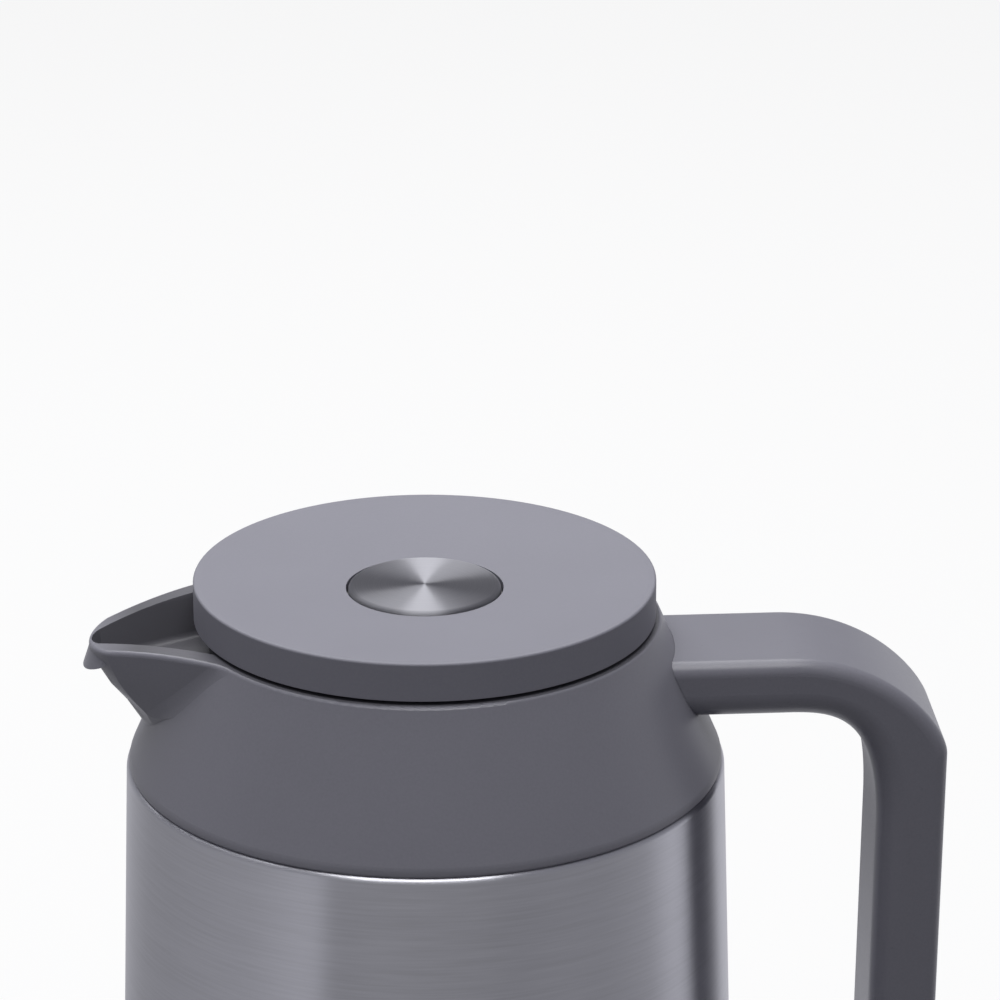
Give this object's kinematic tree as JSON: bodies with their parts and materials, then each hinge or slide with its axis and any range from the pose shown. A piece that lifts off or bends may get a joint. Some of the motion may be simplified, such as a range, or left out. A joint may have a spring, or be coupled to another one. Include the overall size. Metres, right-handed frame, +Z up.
{
  "type": "thermal jug",
  "caption": "Double-walled steel thermal jug with a conical plastic collar, a V spout, a strap handle and a screw-in stopper lid whose centre button opens a sprung pouring valve.",
  "frame": {"origin": "on the table under the middle of the steel body, at the underside of the foot ring", "axes": "+Z up along the body's axis, +X towards the handle, the spout at -X; the jug is symmetric about the XZ plane"},
  "size_m": [0.1863, 0.1376, 0.1638],
  "materials": {
    "brushed_body_steel": "fine horizontal brushing",
    "plain_steel": "drawn, satin",
    "button_steel": "turned in circles",
    "grey_plastic": "fine spark texture",
    "lid_plastic": "fine spark texture",
    "inner_plastic": "smooth moulded",
    "valve_plastic": "smooth natural acetal",
    "silicone": "matt silicone",
    "foot_rubber": "matt rubber"
  },
  "bodies": {
    "jug": {"outer_shell": "brushed_body_steel", "inner_vessel": "plain_steel", "base_cup": "plain_steel", "getter": "plain_steel", "vacuum_plug": "plain_steel", "base_cover": "grey_plastic", "foot_ring": "foot_rubber", "collar": "grey_plastic", "collar_gasket": "silicone", "neck_insert": "inner_plastic", "handle": "grey_plastic", "handle_cover": "grey_plastic", "handle_screws": "plain_steel"},
    "seal": {"stopper_seal": "silicone"},
    "lid": {"lid_disc": "lid_plastic", "stopper_body": "inner_plastic", "valve_seat": "inner_plastic", "stem_seal": "silicone", "return_spring": "plain_steel"},
    "valve": {"button_cap": "button_steel", "plunger": "valve_plastic", "latch_rotor": "valve_plastic", "valve_stem": "valve_plastic", "valve_disc": "valve_plastic", "valve_seal": "silicone", "stem_clip": "plain_steel"}
  },
  "joints": [
    {"name": "lid_lift", "type": "slide", "parent": "jug", "child": "seal", "axis": [0, 0, 1], "range_m": [0, 0.0451]},
    {"name": "lid_turn", "type": "hinge", "parent": "seal", "child": "lid", "pos_m": [0, 0, 0.1555], "axis": [0, 0, 1], "range_deg": [0, 1080]},
    {"name": "button_press", "type": "slide", "parent": "lid", "child": "valve", "axis": [0, 0, -1], "range_m": [0, 0.005], "stiffness_N_per_m": 400, "springref_m": -0.008, "deforming": ["return_spring"]}
  ],
  "couplings": [
    {"joint": "lid_lift", "follows": "lid_turn", "m_per_rad": 0.0023873}
  ]
}
